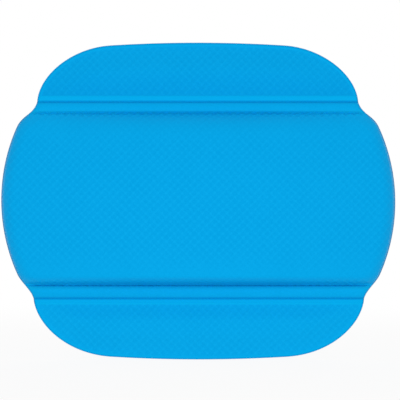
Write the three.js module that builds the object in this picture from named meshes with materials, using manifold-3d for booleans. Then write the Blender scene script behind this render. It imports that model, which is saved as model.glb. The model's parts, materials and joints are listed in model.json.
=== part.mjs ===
// Bath pillow: a thick foam cushion with a thin padded flap at each end, inside a welded vinyl cover.
// The cover is a front and a back sheet, welded together round the edge and along two bands.
// Each band has a fold line, pressed thin from both faces, so that the flap beyond it folds.
// The suction cups behind the flaps have button heads, pushed through punched and ringed holes.
// Millimetres. It is modelled lying on its back, with +Y towards its upper end and +Z out of its face,
// and then stood up as it hangs on the wall of a tub: +Z up, its face to -Y and its back in the plane y = 0.

import * as THREE from "three";
import { mergeVertices } from "three/addons/utils/BufferGeometryUtils.js";
import Module from "manifold-3d";

const wasm = await Module();
wasm.setup();

// Whole pillow
const pillowWidth = 330;
const pillowLength = 265.2;
const sheet = 0.6;
const seatGap = 0.3;
const edgeWeldWidth = 1.8;

// Middle cushion: the rise of its front, and how that falls towards its ends and its round sides.
// A share of the rise is gained in a round shoulder along each side, and the rest over a long low crown.
const sideRadius = 150;
const cushionFrontRise = 21;
const cushionEndFall = 0.34;
const sideShoulderShare = 0.4;
const sideShoulderReach = 11;
const sideCrownReach = 140;

// Back of the cushion: how far in from its edge it is flat
const cushionBackReach = 20;
const cushionBackFullness = 2.3;

// Corners of the middle panel, where its outline bends to the fold line
const waistLean = 0.3;

// Fold lines: the flat margin beyond each one, and the room left in the bottom of its groove
const flapMarginWidth = 4.2;
const foldClearance = 0.15;

// Flaps: the rise of their two faces, and how far in from the edge each one levels out
const flapFrontRise = 3.2;
const flapBackRise = 2.5;
const flapReach = 4.5;
const flapFullness = 2;
const flapCrownShare = 0.12;

// Upper end: the flap beyond its fold line, and the band between that line and the cushion.
// The waist is where the fold line meets the edge, inside the pillow's half width, and its run starts
// where the round side ends. The shoulder is the cushion's own rise out of the valley beside the band.
const upperFlapDepth = 49.6;
const upperBandWidth = 10.1;
const upperWaistInset = 30.6;
const upperWaistRun = 21;
const upperWaistHandle = 11;
const upperShoulderReach = 21;
const upperShoulderFullness = 2.5;
const upperFlapCornerWidth = 61.6;
const upperSideLean = 0.07;
const upperSideHandle = 22.5;
const upperEndHandle = 32.5;
const upperEndRadius = 1159;

// Lower end, which differs a little, as it does on the real pillow
const lowerFlapDepth = 51;
const lowerBandWidth = 10.9;
const lowerWaistInset = 26.6;
const lowerWaistRun = 20.5;
const lowerWaistHandle = 8;
const lowerShoulderReach = 9;
const lowerShoulderFullness = 2;
const lowerFlapCornerWidth = 64.8;
const lowerSideLean = 0.092;
const lowerSideHandle = 21.5;
const lowerEndHandle = 37.9;
const lowerEndRadius = 1207;

// Suction cups, in one row behind each flap: in from the pillow's sides, and out from the fold line
const cupsPerFlap = 4;
const cupRowInset = 81;
const cupRowOffset = 28;
const cupRadius = 15;
const cupHeight = 9.35;
const cupCrownThickness = 3.35;
const cupLipWidth = 1.2;
const cupLipThickness = 0.8;
const cupStubRadius = 5.6;
const cupStubLength = 1.2;
const neckRadius = 2.6;
const headRadius = 4.8;
const headHeight = 2;
const headRounding = 0.7;
const cupDomeShares = [[0.86, 0.22], [0.7, 0.45], [0.55, 0.66], [0.43, 0.82]];
const cupHollowShares = [[0.3, 0.96], [0.58, 0.7], [0.8, 0.32]];

// Eyelets, the rings welded over the cups' holes
const eyeletRadius = 10;
const eyeletThickness = 0.8;
const eyeletBevel = 0.4;
const neckClearance = 0.3;
const headClearance = 0.4;

// Fineness of the curves
const edgeSteps = 7;
const cornerSteps = 4;
const sideSteps = 6;
const flapEdgeSteps = 5;
const flapSideSteps = 9;
const flapEndSteps = 3;
const cupSides = 20;
const holeSides = 16;
const cutFineness = 0.001;
const frontRingShares = [0, 0.02, 0.06, 0.12, 0.2, 0.3, 0.44, 0.62, 0.84];
const frontLiningShares = [0, 0.06, 0.2, 0.44, 0.84];
const backRingShares = [0, 0.02, 0.08, 0.17, 0.28];
const backLiningShares = [0, 0.08, 0.28];
const flapRingShares = [0, 0.03, 0.09, 0.2, 0.45];
const flapLiningShares = [0, 0.09, 0.45];

// Levels, up from the plane of the cups' rims. Each piece stands on the one under it, and the sheets lie
// half a seat gap to either side of the weld's middle. The cups are spread evenly along their row.
const faceLevel = seatGap / 2;
const skinLevel = faceLevel + sheet;
const cupDomeHeight = cupHeight - cupStubLength;
const cupHollowDepth = cupDomeHeight - cupCrownThickness;
const eyeletHeight = cupHeight + seatGap;
const flapBackHeight = eyeletHeight + eyeletThickness + seatGap;
const headBase = flapBackHeight + sheet + seatGap;
const weldHeight = flapBackHeight + flapBackRise + skinLevel;
const cushionBackRise = weldHeight - skinLevel;
const cupPitch = (pillowWidth - 2 * cupRowInset) / (cupsPerFlap - 1);

// Both ends, measured from the pillow's middle
const ends = [
  {
    name: "upper",
    side: 1,
    foldOffset: pillowLength / 2 - upperFlapDepth,
    foldHalfWidth: pillowWidth / 2 - upperWaistInset,
    bandWidth: upperBandWidth,
    waistRun: upperWaistRun,
    waistHandle: upperWaistHandle,
    shoulderReach: upperShoulderReach,
    shoulderFullness: upperShoulderFullness,
    flapCornerWidth: upperFlapCornerWidth,
    sideLean: upperSideLean,
    sideHandle: upperSideHandle,
    endHandle: upperEndHandle,
    endRadius: upperEndRadius,
  },
  {
    name: "lower",
    side: -1,
    foldOffset: pillowLength / 2 - lowerFlapDepth,
    foldHalfWidth: pillowWidth / 2 - lowerWaistInset,
    bandWidth: lowerBandWidth,
    waistRun: lowerWaistRun,
    waistHandle: lowerWaistHandle,
    shoulderReach: lowerShoulderReach,
    shoulderFullness: lowerShoulderFullness,
    flapCornerWidth: lowerFlapCornerWidth,
    sideLean: lowerSideLean,
    sideHandle: lowerSideHandle,
    endHandle: lowerEndHandle,
    endRadius: lowerEndRadius,
  },
];

// Materials
const vinyl = new THREE.MeshStandardMaterial({ color: 0x06a5e7, roughness: 0.42, metalness: 0 });
const backVinyl = new THREE.MeshStandardMaterial({ color: 0x0a97d8, roughness: 0.5, metalness: 0 });
const foam = new THREE.MeshStandardMaterial({ color: 0xf3efe0, roughness: 0.95, metalness: 0 });
const clearVinyl = new THREE.MeshStandardMaterial({
  color: 0xd7e8ee,
  roughness: 0.15,
  metalness: 0,
  transparent: true,
  opacity: 0.55,
});

const pillow = new THREE.Group();

function addPiece(name, geometry, material) {
  geometry.computeVertexNormals();
  const piece = new THREE.Mesh(geometry, material);
  piece.name = name;
  pillow.add(piece);
  return piece;
}

// A ring of points that all lie at one height.
function levelRing(points, height) {
  return { points, heights: points.map(() => height) };
}

// The triangles across a ring. The ring starts at one end of its long axis, and each of its points is
// joined to the one that mirrors it over that axis.
function stitched({ points }) {
  const around = points.length;
  const triangles = [];
  for (let i = 0; i < around / 2; i += 1) {
    const far = around - i;
    if (i > 0) {
      triangles.push([i, far - 1, far]);
    }
    if (i < around / 2 - 1) {
      triangles.push([i, i + 1, far - 1]);
    }
  }
  return triangles;
}

function filled({ points }) {
  return THREE.ShapeUtils.triangulateShape(points, []);
}

// One closed surface through matching rings of points, given from the bottom cap to the top cap. Between
// two rings each four-sided patch is split along its higher diagonal, so that nested faces stay parallel.
function loft(rings, capOf) {
  const around = rings[0].points.length;
  const positions = rings.flatMap(
    ({ points, heights }) => points.flatMap((p, i) => [p.x, p.y, heights[i]]),
  );
  const faces = [];
  for (let k = 0; k < rings.length - 1; k += 1) {
    for (let i = 0; i < around; i += 1) {
      const after = (i + 1) % around;
      const here = k * around + i;
      const next = k * around + after;
      const [low, high] = [rings[k].heights, rings[k + 1].heights];
      if (low[i] + high[after] >= low[after] + high[i]) {
        faces.push(here, next, next + around, here, next + around, here + around);
      } else {
        faces.push(here, next, here + around, next, next + around, here + around);
      }
    }
  }
  const top = (rings.length - 1) * around;
  for (const [a, b, c] of capOf(rings[0])) {
    faces.push(a, c, b);
  }
  for (const [a, b, c] of capOf(rings.at(-1))) {
    faces.push(top + a, top + b, top + c);
  }
  const geometry = new THREE.BufferGeometry();
  geometry.setAttribute("position", new THREE.Float32BufferAttribute(positions, 3));
  geometry.setIndex(faces);
  return geometry;
}

function solidOf(geometry) {
  const bare = geometry.index ? geometry.clone() : geometry.toNonIndexed();
  bare.deleteAttribute("normal");
  bare.deleteAttribute("uv");
  const merged = mergeVertices(bare);
  const vertProperties = merged.attributes.position.array;
  const triVerts = new Uint32Array(merged.index.array);
  return new wasm.Manifold(new wasm.Mesh({ numProp: 3, vertProperties, triVerts }));
}

function geometryOf(solid) {
  const mesh = solid.getMesh();
  const geometry = new THREE.BufferGeometry();
  geometry.setAttribute("position", new THREE.BufferAttribute(mesh.vertProperties, 3));
  geometry.setIndex(new THREE.BufferAttribute(mesh.triVerts, 1));
  return geometry;
}

// A round punch along Z, from one level to another.
function punch(radius, from, to, x, y) {
  const round = new THREE.CylinderGeometry(radius, radius, to - from, holeSides);
  round.rotateX(Math.PI / 2);
  round.translate(x, y, (from + to) / 2);
  return solidOf(round);
}

function punched(geometry, punches) {
  return geometryOf(punches.reduce((solid, tool) => solid.subtract(tool), solidOf(geometry)));
}

// The points of a ring, moved in towards its middle from all four sides.
function drawnIn(points, inset) {
  const box = new THREE.Box2().setFromPoints(points);
  const middle = box.getCenter(new THREE.Vector2());
  const half = box.getSize(new THREE.Vector2()).multiplyScalar(1 / 2);
  return points.map(({ x, y }) => new THREE.Vector2(
    middle.x + (x - middle.x) * (1 - inset / half.x),
    middle.y + (y - middle.y) * (1 - inset / half.y),
  ));
}

// Half the smaller side of a ring's box.
function halfDepth(points) {
  const size = new THREE.Box2().setFromPoints(points).getSize(new THREE.Vector2());
  return Math.min(size.x, size.y) / 2;
}

// A quarter round from 0 to 1, blunt or full.
function rounded(share, fullness) {
  const left = 1 - Math.min(Math.max(share, 0), 1);
  return (1 - left ** fullness) ** (1 / fullness);
}

// A padded face: rings that rise from an outline. The sheet's lining and the foam have outlines further in,
// and each of their points rises as the matching point of the sheet's outer side does.
function paddedFace({ padAt, inset, base, rise, shapeAt, shares }) {
  const outline = padAt(inset);
  const outer = padAt(0);
  const depth = halfDepth(outline);
  const outerDepth = halfDepth(outer);
  return shares.map((share) => {
    const matching = drawnIn(outer, share * outerDepth);
    return {
      points: drawnIn(outline, share * depth),
      heights: matching.map((point) => base + rise * shapeAt(point, share * outerDepth, share)),
    };
  });
}

function mirroredX(points) {
  return points.map(({ x, y }) => new THREE.Vector2(-x, y));
}

function curve(from, fromWay, fromHandle, to, toWay, toHandle, steps) {
  const first = from.clone().addScaledVector(fromWay, fromHandle);
  const second = to.clone().addScaledVector(toWay, -toHandle);
  return new THREE.CubicBezierCurve(from, first, second, to).getPoints(steps).slice(1);
}

// A quarter of the middle panel's outline, in from its edge: from the middle of the round side, round the
// bend, and then straight to the middle of its end.
function panelQuarter(end, inset, endOffset) {
  const radius = sideRadius - inset;
  const middleX = pillowWidth / 2 - sideRadius;
  const turn = Math.asin((end.foldOffset - end.waistRun) / sideRadius);
  const points = new THREE.EllipseCurve(middleX, 0, radius, radius, 0, turn).getPoints(sideSteps);
  const sideWay = new THREE.Vector2(-Math.sin(turn), Math.cos(turn));
  const sideEnd = new THREE.Vector2(middleX + sideRadius * Math.cos(turn), sideRadius * Math.sin(turn));
  const waist = new THREE.Vector2(end.foldHalfWidth, end.foldOffset);
  const waistWay = new THREE.Vector2(-Math.sin(waistLean), Math.cos(waistLean));
  const bend = new THREE.CubicBezierCurve(
    sideEnd,
    sideEnd.clone().addScaledVector(sideWay, end.waistHandle),
    waist.clone().addScaledVector(waistWay, -end.waistHandle),
    waist,
  );
  const bendAt = (share) => {
    const way = bend.getTangent(share);
    return bend.getPoint(share).addScaledVector(new THREE.Vector2(-way.y, way.x), inset);
  };
  let cut = 0;
  for (let step = 1 / 2; step > cutFineness; step /= 2) {
    cut += bendAt(cut + step).y < endOffset ? step : 0;
  }
  for (let i = 1; i <= cornerSteps; i += 1) {
    points.push(bendAt(cut * (i / cornerSteps)));
  }
  const endHalfWidth = points.pop().x;
  for (let i = 0; i <= edgeSteps; i += 1) {
    points.push(new THREE.Vector2(endHalfWidth * (1 - i / edgeSteps), endOffset));
  }
  return points;
}

// The whole ring, anticlockwise, from the quarter at the upper end and the one at the lower end.
function panelRing(quarterOf) {
  const [upper, lower] = ends.map((end) => quarterOf(end).map(
    ({ x, y }) => new THREE.Vector2(x, y * end.side),
  ));
  return [
    ...upper.slice(0, -1),
    ...mirroredX(upper).reverse().slice(0, -1),
    ...mirroredX(lower).slice(0, -1),
    ...lower.slice().reverse().slice(0, -1),
  ];
}

// The middle panel's own outline. Its ends stop at the fold's groove, whose walls slope at 45 degrees.
function centreOutline(level) {
  return panelRing((end) => panelQuarter(end, 0, end.foldOffset - foldClearance - level));
}

// The line that the cushion rises from: inside the edge weld, and along the valley beside each band.
function cushionOutline(inset) {
  const valleys = panelRing((end) => panelQuarter(end, edgeWeldWidth, end.foldOffset - end.bandWidth));
  return drawnIn(valleys, inset);
}

// A flap's outline, anticlockwise: along the fold, up the side and round the end.
function flapOutline(end, level) {
  const foldY = end.foldOffset + foldClearance + level;
  const corner = new THREE.Vector2(end.foldHalfWidth, foldY);
  const endHalfWidth = end.foldHalfWidth - end.flapCornerWidth;
  const turn = Math.asin(endHalfWidth / end.endRadius);
  const endMiddle = pillowLength / 2 - end.endRadius;
  const join = new THREE.Vector2(endHalfWidth, endMiddle + end.endRadius * Math.cos(turn));
  const half = [];
  for (let i = 0; i <= flapEdgeSteps; i += 1) {
    half.push(new THREE.Vector2(end.foldHalfWidth * (i / flapEdgeSteps), foldY));
  }
  const sideWay = new THREE.Vector2(-Math.sin(end.sideLean), Math.cos(end.sideLean));
  const endWay = new THREE.Vector2(-Math.cos(turn), Math.sin(turn));
  half.push(...curve(corner, sideWay, end.sideHandle, join, endWay, end.endHandle, flapSideSteps));
  for (let i = 1; i <= flapEndSteps; i += 1) {
    const angle = turn * (1 - i / flapEndSteps);
    const reach = end.endRadius;
    half.push(new THREE.Vector2(reach * Math.sin(angle), endMiddle + reach * Math.cos(angle)));
  }
  const ring = [...half.slice(0, -1), ...mirroredX(half).reverse().slice(0, -1)];
  const placed = ring.map(({ x, y }) => new THREE.Vector2(x, y * end.side));
  return end.side > 0 ? placed : placed.reverse();
}

// The line that a flap's padding rises from: inside the edge weld and the margin at the fold.
function flapPadOutline(end, inset) {
  const outline = flapOutline(end, skinLevel);
  const foldY = end.foldOffset + foldClearance + skinLevel;
  const endY = pillowLength / 2;
  const from = end.foldOffset + flapMarginWidth;
  const squeeze = (endY - edgeWeldWidth - from) / (endY - foldY);
  return drawnIn(outline.map(({ x, y }) => new THREE.Vector2(
    x * (1 - edgeWeldWidth / end.foldHalfWidth),
    end.side * (from + (y * end.side - foldY) * squeeze),
  )), inset);
}

// A front sheet: its lining side first, out to the welded edge, and then its outer side.
function frontSkin(outlineAt, face) {
  const lining = paddedFace({
    ...face,
    inset: sheet,
    base: weldHeight + faceLevel,
    shares: face.liningShares,
  });
  const outside = paddedFace({ ...face, inset: 0, base: weldHeight + skinLevel });
  return loft([
    ...lining.reverse(),
    levelRing(outlineAt(faceLevel), weldHeight + faceLevel),
    levelRing(outlineAt(skinLevel), weldHeight + skinLevel),
    ...outside,
  ], face.capOf);
}

// A back sheet is the same, upside down.
function backSkin(outlineAt, face) {
  const hanging = { ...face, rise: -face.rise };
  const outside = paddedFace({ ...hanging, inset: 0, base: weldHeight - skinLevel });
  const lining = paddedFace({
    ...hanging,
    inset: sheet,
    base: weldHeight - faceLevel,
    shares: face.liningShares,
  });
  return loft([
    ...outside.reverse(),
    levelRing(outlineAt(skinLevel), weldHeight - skinLevel),
    levelRing(outlineAt(faceLevel), weldHeight - faceLevel),
    ...lining,
  ], face.capOf);
}

// Foam fills the cover, a seat gap inside it.
function foamPad(front, back) {
  const inset = sheet + seatGap;
  const below = paddedFace({
    ...back,
    inset,
    base: weldHeight - faceLevel,
    rise: seatGap - back.rise,
    shares: back.liningShares,
  });
  const above = paddedFace({
    ...front,
    inset,
    base: weldHeight + faceLevel,
    rise: front.rise - seatGap,
    shares: front.liningShares,
  });
  return loft([...below.reverse(), ...above], front.capOf);
}

// Middle cushion. Its front rises from the line along its round side, between the valleys at its two ends.
const [upperSide, lowerSide] = ends.map((end) => {
  const quarter = panelQuarter(end, edgeWeldWidth, end.foldOffset - end.bandWidth);
  return quarter.slice(0, -edgeSteps).map(({ x, y }) => new THREE.Vector3(x, y * end.side, 0));
});
const roundSide = [...lowerSide.reverse(), ...upperSide.slice(1)];

function sideDistance({ x, y }) {
  const point = new THREE.Vector3(Math.abs(x), y, 0);
  const nearest = new THREE.Vector3();
  const distances = roundSide.slice(1).map((to, i) => {
    new THREE.Line3(roundSide[i], to).closestPointToPoint(point, true, nearest);
    return nearest.distanceTo(point);
  });
  return Math.min(...distances);
}

const cushionFront = {
  padAt: cushionOutline,
  rise: cushionFrontRise,
  shapeAt: (point) => {
    const across = sideDistance(point);
    const shoulder = sideShoulderShare * rounded(across / sideShoulderReach, 2);
    const crown = (1 - sideShoulderShare) * (1 - (1 - Math.min(across / sideCrownReach, 1)) ** 2);
    return ends.reduce((height, end) => {
      const along = point.y * end.side;
      const valley = end.foldOffset - end.bandWidth;
      const fall = cushionEndFall * Math.max(along / valley, 0) ** 2;
      const rise = rounded((valley - along) / end.shoulderReach, end.shoulderFullness);
      return height * rise * (1 - fall);
    }, shoulder + crown);
  },
  shares: frontRingShares,
  liningShares: frontLiningShares,
  capOf: stitched,
};
const cushionBack = {
  padAt: cushionOutline,
  rise: cushionBackRise,
  shapeAt: (point, inset) => rounded(inset / cushionBackReach, cushionBackFullness),
  shares: backRingShares,
  liningShares: backLiningShares,
  capOf: stitched,
};
addPiece("centre_front_skin", frontSkin(centreOutline, cushionFront), vinyl);
addPiece("centre_back_skin", backSkin(centreOutline, cushionBack), backVinyl);
addPiece("centre_foam_core", foamPad(cushionFront, cushionBack), foam);

// A suction cup, turned about its own axis: hollow, lip, dome, stub, neck and button head
function suctionCup() {
  const profile = [new THREE.Vector2(0, cupHollowDepth)];
  for (const [across, up] of cupHollowShares) {
    profile.push(new THREE.Vector2(cupRadius * across, cupHollowDepth * up));
  }
  profile.push(new THREE.Vector2(cupRadius - cupLipWidth, 0));
  profile.push(new THREE.Vector2(cupRadius, 0));
  profile.push(new THREE.Vector2(cupRadius, cupLipThickness));
  for (const [across, up] of cupDomeShares) {
    profile.push(new THREE.Vector2(cupRadius * across, cupDomeHeight * up));
  }
  profile.push(new THREE.Vector2(cupStubRadius, cupDomeHeight));
  profile.push(new THREE.Vector2(cupStubRadius, cupHeight));
  profile.push(new THREE.Vector2(neckRadius, cupHeight));
  profile.push(new THREE.Vector2(neckRadius, headBase));
  profile.push(new THREE.Vector2(headRadius, headBase));
  profile.push(new THREE.Vector2(headRadius, headBase + headHeight - headRounding));
  profile.push(new THREE.Vector2(headRadius - headRounding, headBase + headHeight));
  profile.push(new THREE.Vector2(0, headBase + headHeight));
  return new THREE.LatheGeometry(profile, cupSides).rotateX(Math.PI / 2);
}

// An eyelet: a flat ring with its outer edge bevelled, under the flap's back
function eyelet() {
  const bore = neckRadius + neckClearance;
  const top = eyeletHeight + eyeletThickness;
  const profile = [
    new THREE.Vector2(bore, eyeletHeight),
    new THREE.Vector2(eyeletRadius - eyeletBevel, eyeletHeight),
    new THREE.Vector2(eyeletRadius, eyeletHeight + eyeletBevel),
    new THREE.Vector2(eyeletRadius, top),
    new THREE.Vector2(bore, top),
    new THREE.Vector2(bore, eyeletHeight),
  ];
  return new THREE.LatheGeometry(profile, holeSides).rotateX(Math.PI / 2);
}

// Flaps, each with its row of cups
for (const end of ends) {
  const back = {
    padAt: (inset) => flapPadOutline(end, inset),
    rise: flapBackRise,
    shapeAt: (point, inset) => rounded(inset / flapReach, flapFullness),
    shares: flapRingShares,
    liningShares: flapLiningShares,
    capOf: filled,
  };
  const front = {
    ...back,
    rise: flapFrontRise,
    shapeAt: (point, inset, share) => {
      const crown = 1 - (1 - share) ** 2;
      return (1 - flapCrownShare) * rounded(inset / flapReach, flapFullness) + flapCrownShare * crown;
    },
  };
  const outlineAt = (level) => flapOutline(end, level);
  const cupY = end.side * (end.foldOffset + cupRowOffset);
  const cupXs = [];
  for (let i = 0; i < cupsPerFlap; i += 1) {
    cupXs.push(cupPitch * (i - (cupsPerFlap - 1) / 2));
  }
  const boreRadius = neckRadius + neckClearance;
  const holes = cupXs.map((x) => punch(boreRadius, cupHeight, weldHeight, x, cupY));
  const pocketRadius = headRadius + headClearance;
  const pocketTop = headBase + headHeight + headClearance;
  const pockets = cupXs.map((x) => punch(pocketRadius, cupHeight, pocketTop, x, cupY));

  addPiece(`${end.name}_flap_front_skin`, frontSkin(outlineAt, front), vinyl);
  addPiece(`${end.name}_flap_back_skin`, punched(backSkin(outlineAt, back), holes), backVinyl);
  addPiece(`${end.name}_flap_foam_pad`, punched(foamPad(front, back), pockets), foam);
  cupXs.forEach((x, i) => {
    const ring = addPiece(`cup_eyelet_${end.name}_${i + 1}`, eyelet(), vinyl);
    ring.position.set(x, cupY, 0);
    const cup = addPiece(`suction_cup_${end.name}_${i + 1}`, suctionCup(), clearVinyl);
    cup.position.set(x, cupY, 0);
  });
}

pillow.rotation.x = Math.PI / 2;

export default pillow;
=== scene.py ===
# A vinyl bath pillow: a foam cushion and two folding flaps in a welded cover, with suction cups behind.
# Metres, +Z up. Its face looks to -Y, and the rims of its cups lie in the plane y = 0.

import json
import math

import bpy
import numpy as np
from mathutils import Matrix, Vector, kdtree


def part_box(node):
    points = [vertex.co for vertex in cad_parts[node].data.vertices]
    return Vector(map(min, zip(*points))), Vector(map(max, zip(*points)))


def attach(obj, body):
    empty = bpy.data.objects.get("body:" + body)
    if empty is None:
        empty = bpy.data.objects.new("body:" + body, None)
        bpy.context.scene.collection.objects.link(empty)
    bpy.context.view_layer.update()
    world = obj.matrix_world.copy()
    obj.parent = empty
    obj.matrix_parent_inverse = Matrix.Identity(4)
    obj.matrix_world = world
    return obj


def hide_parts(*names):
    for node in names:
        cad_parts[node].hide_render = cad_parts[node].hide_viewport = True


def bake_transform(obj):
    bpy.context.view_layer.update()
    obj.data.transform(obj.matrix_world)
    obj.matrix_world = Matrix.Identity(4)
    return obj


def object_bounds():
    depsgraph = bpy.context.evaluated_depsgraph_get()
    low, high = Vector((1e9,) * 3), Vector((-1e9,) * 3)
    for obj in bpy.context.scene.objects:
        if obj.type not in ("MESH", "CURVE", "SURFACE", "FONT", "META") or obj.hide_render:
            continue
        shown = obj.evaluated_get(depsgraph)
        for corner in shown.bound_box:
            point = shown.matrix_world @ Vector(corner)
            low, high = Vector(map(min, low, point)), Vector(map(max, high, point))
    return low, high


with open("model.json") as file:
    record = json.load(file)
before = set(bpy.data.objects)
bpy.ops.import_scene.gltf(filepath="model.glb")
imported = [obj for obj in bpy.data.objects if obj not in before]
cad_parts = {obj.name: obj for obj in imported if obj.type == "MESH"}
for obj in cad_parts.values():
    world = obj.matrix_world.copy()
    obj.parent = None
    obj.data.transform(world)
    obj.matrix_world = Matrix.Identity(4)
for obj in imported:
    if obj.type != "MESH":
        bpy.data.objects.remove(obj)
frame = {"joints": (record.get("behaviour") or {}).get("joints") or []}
cad_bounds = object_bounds()
mm = 0.001

# Camera. The pillow was photographed face on and from far off, so its edges hardly spread.
photo_width_px = 400
outline_middle_px = (198.27, 201.05)
photo_scale = 0.8376 * mm
camera_distance = 1.5
weld_y = frame["joints"][0]["pos_m"][1]

camera_data = bpy.data.cameras.new("camera")
camera_data.sensor_width = 36
camera_data.lens = camera_data.sensor_width * camera_distance / (photo_width_px * photo_scale)
camera = bpy.data.objects.new("camera", camera_data)
camera.location = (
    (photo_width_px / 2 - outline_middle_px[0]) * photo_scale,
    weld_y - camera_distance,
    (outline_middle_px[1] - photo_width_px / 2) * photo_scale,
)
camera.rotation_euler = (math.radians(90), 0, 0)
bpy.context.scene.collection.objects.link(camera)
bpy.context.scene.camera = camera


# Front cover of the cushion. It is a 0.6 mm vinyl sheet with a woven pattern embossed in it, drawn over
# the foam and heat-welded to the back sheet round the sides and along a valley at each end.
sheet_thickness = 0.6 * mm
weld_level = 0.62 * mm
edge_rounding = 0.3 * mm
side_radius = 150 * mm
waist_lean = 0.3
pillow_ends = {
    "upper": {
        "side": 1,
        "band_width": 10.1 * mm,
        "waist_inset": 30.6 * mm,
        "waist_run": 21 * mm,
        "waist_handle": 11 * mm,
        "side_lean": 0.07,
        "side_handle": 22.5 * mm,
        "end_handle": 32.5 * mm,
        "corner_width": 61.6 * mm,
        "end_radius": 1159 * mm,
        "end_fall": 0.34,
        "shoulder_reach": 21 * mm,
        "shoulder_start": 0.4,
        "seam_width": 1.1 * mm,
        "band_bulge": 2 * mm,
        "band_rise_run": 2.1 * mm,
        "band_fall_run": 5.4 * mm,
        "strip_width": 4.4 * mm,
        "flap_fold_run": 28 * mm,
        "flap_edge_run": 26 * mm,
        "flap_shade_share": 1,
        "seam_wall_shade_share": 0,
        "stretch_loss": 0.5,
        "flap_emboss": 1,
        "pucker_offset": 0.8 * mm,
    },
    "lower": {
        "side": -1,
        "band_width": 10.9 * mm,
        "waist_inset": 26.6 * mm,
        "waist_run": 20.5 * mm,
        "waist_handle": 8 * mm,
        "side_lean": 0.092,
        "side_handle": 21.5 * mm,
        "end_handle": 37.9 * mm,
        "corner_width": 64.8 * mm,
        "end_radius": 1207 * mm,
        "end_fall": 0.2,
        "shoulder_reach": 9 * mm,
        "shoulder_start": 1.18,
        "seam_width": 0.4 * mm,
        "band_bulge": 2.6 * mm,
        "band_rise_run": 2.8 * mm,
        "band_fall_run": 6.4 * mm,
        "strip_width": 4.4 * mm,
        "flap_fold_run": 15 * mm,
        "flap_edge_run": 22 * mm,
        "flap_shade_share": 0,
        "seam_wall_shade_share": 0.6,
        "stretch_loss": 0.65,
        "flap_emboss": 0.9,
        "pucker_offset": 3.4 * mm,
    },
}
pillow_low, pillow_high = cad_bounds
half_width = (pillow_high.x - pillow_low.x) / 2


curve_points = 400
arc_points = 600


def smooth_curve(start, start_way, start_handle, end, end_way, end_handle):
    share = np.linspace(0, 1, curve_points)[:, None]
    first, last = np.array(start), np.array(end)
    second = first + start_handle * np.array(start_way)
    third = last - end_handle * np.array(end_way)
    left = 1 - share
    return (first * left**3 + 3 * second * share * left**2 + 3 * third * share**2 * left
            + last * share**3)


def arc(centre, radius, start, end):
    turn = np.linspace(start, end, arc_points)
    return np.column_stack([centre[0] + radius * np.cos(turn), centre[1] + radius * np.sin(turn)])


# The right half of the outline, from the middle of the side out to the middle of an end.
for name, end in pillow_ends.items():
    joint = next(j for j in frame["joints"] if j["name"] == f"{name}_flap_fold")
    end["fold"] = abs(joint["pos_m"][2])
    end["valley"] = end["fold"] - end["band_width"]
    end["reach"] = (pillow_high.z - pillow_low.z) / 2
    turn = math.asin((end["fold"] - end["waist_run"]) / side_radius)
    side = arc((half_width - side_radius, 0), side_radius, 0, turn)
    waist = (half_width - end["waist_inset"], end["fold"])
    bend = smooth_curve(side[-1], (-math.sin(turn), math.cos(turn)), end["waist_handle"],
                        waist, (-math.sin(waist_lean), math.cos(waist_lean)), end["waist_handle"])
    end_half_width = waist[0] - end["corner_width"]
    end_turn = math.asin(end_half_width / end["end_radius"])
    end_middle = end["reach"] - end["end_radius"]
    close = arc((0, end_middle), end["end_radius"], math.pi / 2 - end_turn, math.pi / 2)
    side_way = (-math.sin(end["side_lean"]), math.cos(end["side_lean"]))
    corner = smooth_curve(waist, side_way, end["side_handle"],
                          close[0], (-math.cos(end_turn), math.sin(end_turn)), end["end_handle"])
    end["panel_side"] = np.vstack([side, bend[1:]])
    end["flap_side"] = np.vstack([corner, close[1:]])


def width_at(z):
    """Half the width of the middle panel and its bands at height z."""
    z = np.asarray(z)
    upper, lower = pillow_ends["upper"]["panel_side"], pillow_ends["lower"]["panel_side"]
    return np.where(z > 0, np.interp(z, upper[:, 1], upper[:, 0]), np.interp(-z, lower[:, 1], lower[:, 0]))


outline_step = 0.05 * mm


def tree_of(parts):
    """A search tree of points along the outline, given one half of it at each end of the pillow."""
    points = []
    for end, half in parts:
        run = np.concatenate([[0], np.cumsum(np.hypot(*np.diff(half, axis=0).T))])
        at = np.arange(0, run[-1], outline_step)
        x, z = np.interp(at, run, half[:, 0]), end["side"] * np.interp(at, run, half[:, 1])
        points += [*zip(x, z), *zip(-x, z)]
    tree = kdtree.KDTree(len(points))
    for i, (x, z) in enumerate(points):
        tree.insert((x, 0, z), i)
    tree.balance()
    return tree


ends = pillow_ends.values()
side_tree = tree_of([(end, end["panel_side"]) for end in ends])
edge_tree = tree_of([(end, np.vstack([end["panel_side"], end["flap_side"]])) for end in ends])


def edge_distance(x, z):
    """In from the welded edge, or on the middle panel from its round sides."""
    low, high = -pillow_ends["lower"]["valley"], pillow_ends["upper"]["valley"]
    found = [(side_tree if low < b < high else edge_tree).find((a, 0, b))[2]
             for a, b in zip(x.ravel(), z.ravel())]
    return np.array(found).reshape(x.shape)


def rounded(share, fullness):
    left = 1 - np.clip(share, 0, 1)
    return (1 - left**fullness) ** (1 / fullness)


def rising(share, power, start=1):
    """From 0 up to 1. It starts upright for a start under 1, at a slope for 1 and level for more."""
    return (1 - (1 - np.clip(share, 0, 1)) ** power) ** start


def eased(share):
    share = np.clip(share, 0, 1)
    return share**2 * (3 - 2 * share)


def line_of(distance, width):
    return np.exp(-((distance / width) ** 2))


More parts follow.
